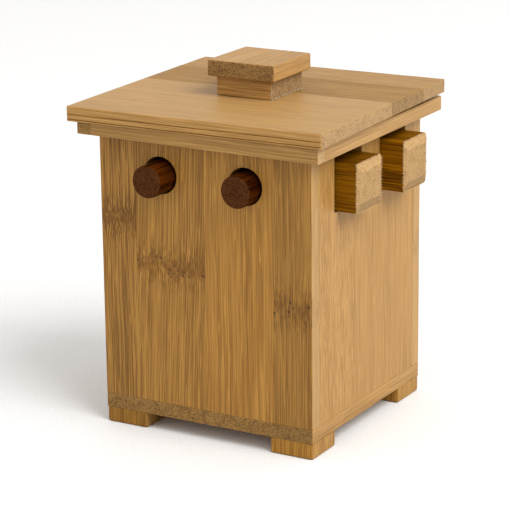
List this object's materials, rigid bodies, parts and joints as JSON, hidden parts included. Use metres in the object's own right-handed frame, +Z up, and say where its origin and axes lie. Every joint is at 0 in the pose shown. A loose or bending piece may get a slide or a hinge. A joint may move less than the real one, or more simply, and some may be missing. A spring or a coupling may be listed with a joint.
{
  "type": "wooden puzzle box",
  "caption": "Square wooden puzzle box on block feet, with a lift-off lid and square knob, round locking dowels in the front and square locking bars in the side.",
  "frame": {"origin": "on the ground plane, under the middle of the whole box's bounding box", "axes": "+Z up; the front wall with the round dowels faces -Y; the side with the square bars faces +X"},
  "size_m": [0.1078, 0.102, 0.1364],
  "materials": {
    "bamboo": "satin laminated bamboo, caramel, fine straight grain",
    "bamboo_light": "satin laminated bamboo, light tan",
    "bamboo_dark": "satin laminated bamboo, darker, speckled on the end grain",
    "bamboo_bar": "satin bamboo, brown streaked sides with pale fuzzy end grain",
    "walnut": "dark reddish-brown hardwood, smooth sides, open-pored ends"
  },
  "bodies": {
    "box": {"front_wall": "bamboo", "back_wall": "bamboo", "left_wall": "bamboo_light", "right_wall": "bamboo_light", "base_board": "bamboo_dark", "foot_front_left": "bamboo", "foot_front_right": "bamboo", "foot_back_left": "bamboo", "foot_back_right": "bamboo", "rim_front": "bamboo", "rim_right": "bamboo_light", "rim_back": "bamboo_light", "rim_left": "bamboo_light", "rear_bearer": "bamboo", "left_bearer": "bamboo"},
    "lid": {"lid_front_strip": "bamboo_light", "lid_middle_strip": "bamboo", "lid_rear_strip": "bamboo_light", "lid_plug": "bamboo", "keeper_board": "bamboo", "keeper_pin": "bamboo_light", "knob_post": "bamboo", "knob_cap": "bamboo_dark"},
    "left_dowel": {"left_dowel": "walnut"},
    "right_dowel": {"right_dowel": "walnut"},
    "front_bar": {"front_bar": "bamboo_bar"},
    "rear_bar": {"rear_bar": "bamboo_bar"}
  },
  "joints": [
    {"name": "lid_lift", "type": "slide", "parent": "box", "child": "lid", "axis": [0, 0, 1], "range_m": [0, 0.06]},
    {"name": "left_dowel_slide", "type": "slide", "parent": "box", "child": "left_dowel", "axis": [0, 1, 0], "range_m": [0, 0.0055]},
    {"name": "right_dowel_slide", "type": "slide", "parent": "box", "child": "right_dowel", "axis": [0, 1, 0], "range_m": [-0.0055, 0]},
    {"name": "front_bar_slide", "type": "slide", "parent": "box", "child": "front_bar", "axis": [1, 0, 0], "range_m": [-0.005, 0.003]},
    {"name": "rear_bar_slide", "type": "slide", "parent": "box", "child": "rear_bar", "axis": [1, 0, 0], "range_m": [-0.005, 0.003]}
  ]
}
